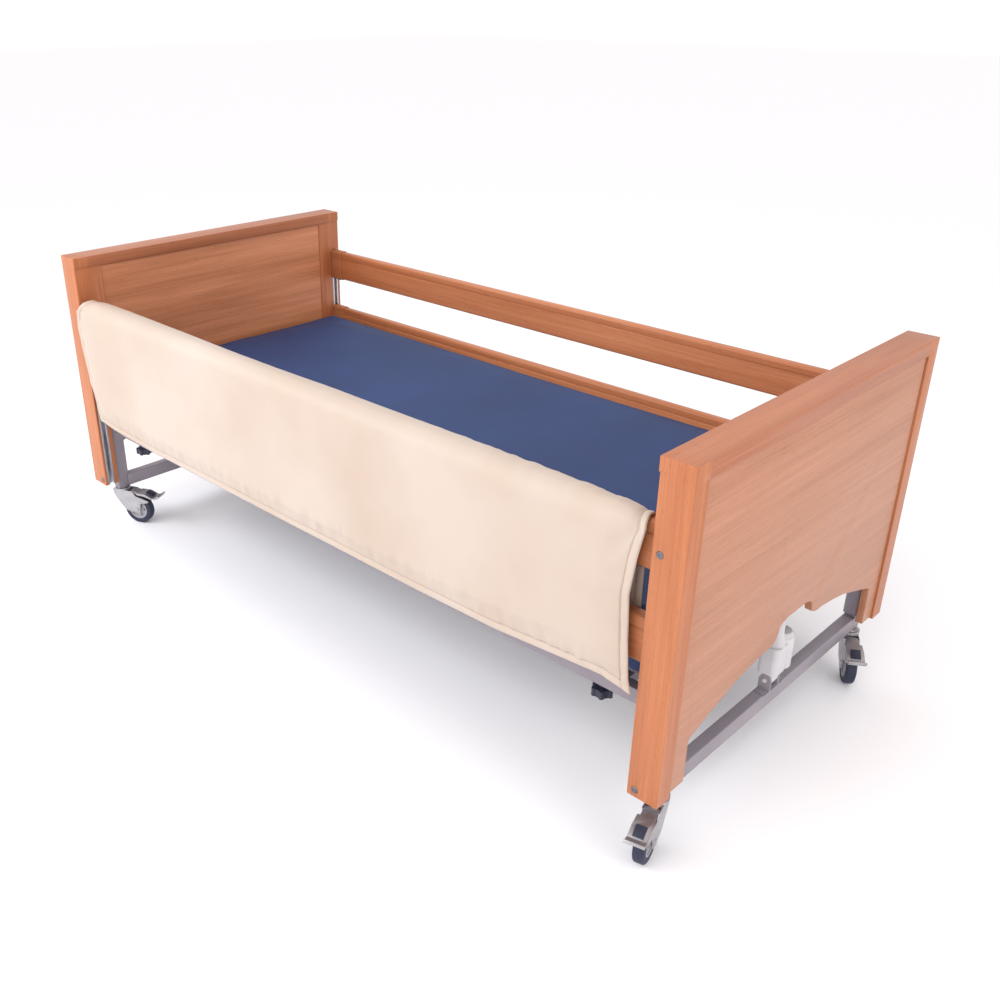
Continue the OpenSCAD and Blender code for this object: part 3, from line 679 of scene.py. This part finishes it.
pins = {}
for vertex in cover.data.vertices:
    i, j = divmod(vertex.index, ring_size)
    y, z = vertex.co.y, vertex.co.z
    if j >= outer_count or min(us[i], 1 - us[i]) < 0.008:
        pins[vertex.index] = 1.0
    elif y < -0.51 and z < 0.43:
        pins[vertex.index] = 1.0 if z < 0.415 else 0.6  # the hem, then the face just above it
    elif y > -0.47:
        pins[vertex.index] = 0.8  # the flap
inflate(cover, pins, 1.2, 14, 0.003)


def cover_fold(p):
    """Puckers along the hem and the top edge, gathers at both ends and long soft waves over the face."""
    top = ease((p.z - 0.70) / 0.07)
    low = ease((p.z - 0.405) / 0.012) * (1 - ease((p.z - 0.43) / 0.06))
    foot = ease((p.x - 0.35) / 0.55)
    ends = ease((abs(p.x) - 0.86) / 0.12)
    gather = noise.fractal(Vector((p.x * 34 + p.z * 9, p.z * 3, 5.0)), 1.0, 2.0, 3)
    hem = noise.fractal(Vector((p.x * 42, p.z * 10, 9.0)), 1.0, 2.0, 3)
    wave = noise.fractal(Vector((p.x * 2.1, p.z * 3.0, 2.0)), 1.0, 2.0, 2)
    fan = noise.fractal(Vector((p.x * 7, (p.z - 0.2 * abs(p.x)) * 26, 4.0)), 1.0, 2.0, 2)
    return (0.0028 * top * (0.15 + 0.85 * foot) * gather + 0.0048 * low * hem + 0.0032 * wave
            + 0.0024 * ends * fan)


FACE_LIMIT = -0.546  # no fold stands out further than this
for vertex, normal in zip(cover.data.vertices, facing(cover.data)):
    y, z = vertex.co.y, vertex.co.z
    if vertex.index % ring_size < outer_count and y < -0.455:
        share = 0.4 if y > -0.53 and z < 0.42 else 1
        vertex.co += Vector(normal) * (cover_fold(vertex.co) * share - 0.001)
        vertex.co.y = max(vertex.co.y, FACE_LIMIT)
cover.data.update()
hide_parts("padded_cover")
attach(cover, "near_rails")


def stitches(name, points, normal, length=0.0042, gap=0.0028, width=0.0006):
    """A line of raised stitches along points."""
    bm = bmesh.new()
    carried = 0.0
    for a, b in zip(points, points[1:]):
        run = (b - a).length
        direction = (b - a).normalized()
        at = carried
        while at + length < run:
            p, q = a + direction * at, a + direction * (at + length)
            side = direction.cross(normal).normalized() * width
            lift = normal.normalized() * 0.0007
            middle = (p + q) / 2
            waist = middle + lift * 0.4
            corners = [bm.verts.new(v) for v in (p, waist + side, q, waist - side)]
            crown = bm.verts.new(middle + lift)
            for k in range(4):
                bm.faces.new((corners[k], corners[(k + 1) % 4], crown))
            at += length + gap
        carried = at - run if at > run else 0.0
    mesh = bpy.data.meshes.new(name)
    bm.to_mesh(mesh)
    bm.free()
    made = new_object(name, mesh, thread)
    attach(made, "near_rails")


STITCH_Z = 0.0165  # height of the stitches above the hem's edge
hem_line = []
points = placed(cover.data)
for i in range(6, len(us) - 6):
    column = points[i * ring_size:(i + 1) * ring_size]
    nearest = min(range(4, 24), key=lambda j: abs(column[j][2] - column[0][2] - STITCH_Z))
    hem_line.append(Vector(column[nearest]) + Vector((0, -0.0004, 0)))
stitches("cover_hem_stitches", hem_line, Vector((0, -1, 0)))


# ---------------------------------------------------------------- floor and light
bm = bmesh.new()
bmesh.ops.create_grid(bm, x_segments=1, y_segments=1, size=30)
floor_mesh = bpy.data.meshes.new("floor")
bm.to_mesh(floor_mesh)
bm.free()
floor_shader = Shader("floor_paper", (0.96, 0.95, 0.965), 0.85)
floor_shader.bump(floor_shader.noise((30, 30, 30), 2), 0.02, 0.0002)
floor = new_object("floor", floor_mesh, floor_shader.material)

world = bpy.data.worlds.new("studio")
world.use_nodes = True
world.node_tree.nodes["Background"].inputs["Color"].default_value = (1.0, 0.985, 0.99, 1)
world.node_tree.nodes["Background"].inputs["Strength"].default_value = 1.04
scene.world = world


def softbox(name, place, aim, size, power, colour=(1, 1, 1)):
    light = bpy.data.lights.new(name, "AREA")
    light.shape = "RECTANGLE"
    light.size, light.size_y = size
    light.energy = power
    light.color = colour
    made = bpy.data.objects.new(name, light)
    made.location = place
    made.rotation_mode = "QUATERNION"
    made.rotation_quaternion = (Vector(aim) - Vector(place)).to_track_quat("-Z", "Y")
    scene.collection.objects.link(made)


softbox("head_side", (-2.1, -2.1, 2.0), (-0.9, -0.5, 0.6), (1.5, 1.1), 32, (0.88, 0.95, 1.0))
softbox("near_side", (0.2, -3.0, 2.6), (0, -0.6, 0.0), (4.0, 1.6), 58)
softbox("foot_side", (3.4, -0.4, 1.5), (1.0, 0, 0.5), (1.6, 1.4), 16)
